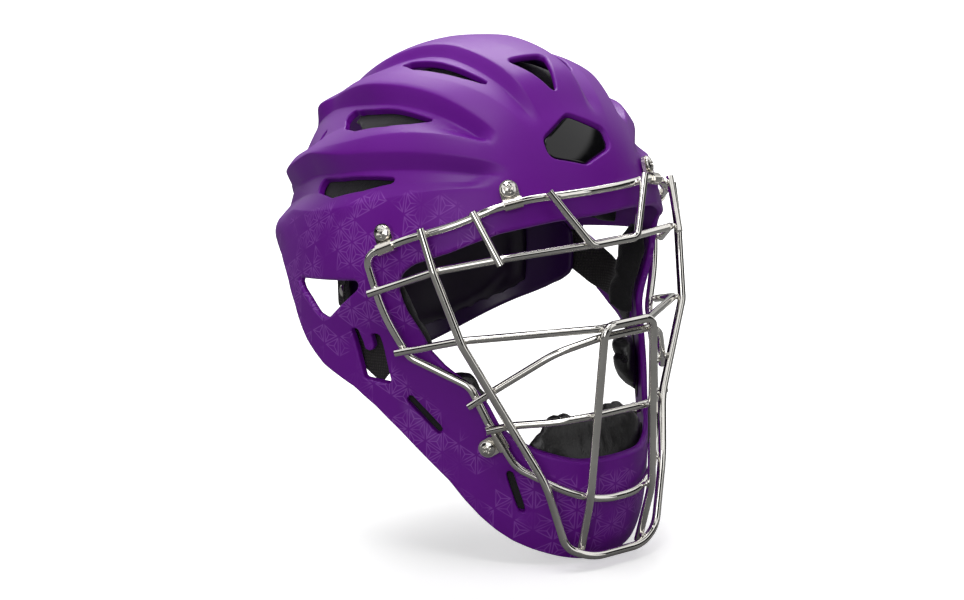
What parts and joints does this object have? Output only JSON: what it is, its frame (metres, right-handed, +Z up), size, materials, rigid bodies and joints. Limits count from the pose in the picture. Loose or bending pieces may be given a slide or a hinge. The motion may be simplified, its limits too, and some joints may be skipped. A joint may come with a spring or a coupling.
{
  "type": "softball catcher helmet",
  "caption": "Ribbed full-head catcher helmet with a clipped-on welded wire face cage, foam padding and a spring-loaded sliding back plate on elastic straps.",
  "frame": {"origin": "centre of the wearer's head, midway between the ears", "axes": "+X the wearer's left, -Y the way the face looks, +Z up towards the crown"},
  "size_m": [0.2246, 0.2483, 0.287],
  "materials": {
    "shell_plastic": "satin moulded plastic, purple",
    "badge_plastic": "glossy black plate, bare",
    "cage_wire": "bright nickel-plated steel wire",
    "clip_steel": "nickel-plated sheet",
    "fastener_steel": "nickel-plated",
    "back_plate_plastic": "satin moulded plastic, purple",
    "elastic_webbing": "woven elastic webbing",
    "pad_cover": "brushed foam cover",
    "chin_leather": "soft black synthetic leather"
  },
  "bodies": {
    "helmet": {"shell": "shell_plastic", "badge_plate": "badge_plastic", "cage_perimeter": "cage_wire", "cage_main_loop": "cage_wire", "cage_centre_loop": "cage_wire", "cage_brow_loop": "cage_wire", "cage_eye_bar": "cage_wire", "cage_cheek_bar": "cage_wire", "cage_mouth_bar": "cage_wire", "cage_chin_bar": "cage_wire", "cage_stays": "cage_wire", "cage_clips": "clip_steel", "clip_screws": "fastener_steel", "clip_nuts": "fastener_steel", "upper_strap_left": "elastic_webbing", "upper_strap_right": "elastic_webbing", "lower_strap_left": "elastic_webbing", "lower_strap_right": "elastic_webbing", "brow_pad": "pad_cover", "crown_pad": "pad_cover", "side_pad_left": "pad_cover", "side_pad_right": "pad_cover", "ear_pad_left": "pad_cover", "ear_pad_right": "pad_cover", "jaw_pad_left": "chin_leather", "jaw_pad_right": "chin_leather", "chin_pad": "chin_leather"},
    "back_plate": {"back_plate": "back_plate_plastic", "back_plate_pad": "pad_cover", "strap_rivets": "fastener_steel"}
  },
  "joints": [
    {"name": "back_plate_slide", "type": "slide", "parent": "helmet", "child": "back_plate", "axis": [0, 1, 0], "range_m": [0, 0.04], "stiffness_N_per_m": 600, "springref_m": -0.01, "deforming": ["upper_strap_left", "upper_strap_right", "lower_strap_left", "lower_strap_right"]}
  ]
}
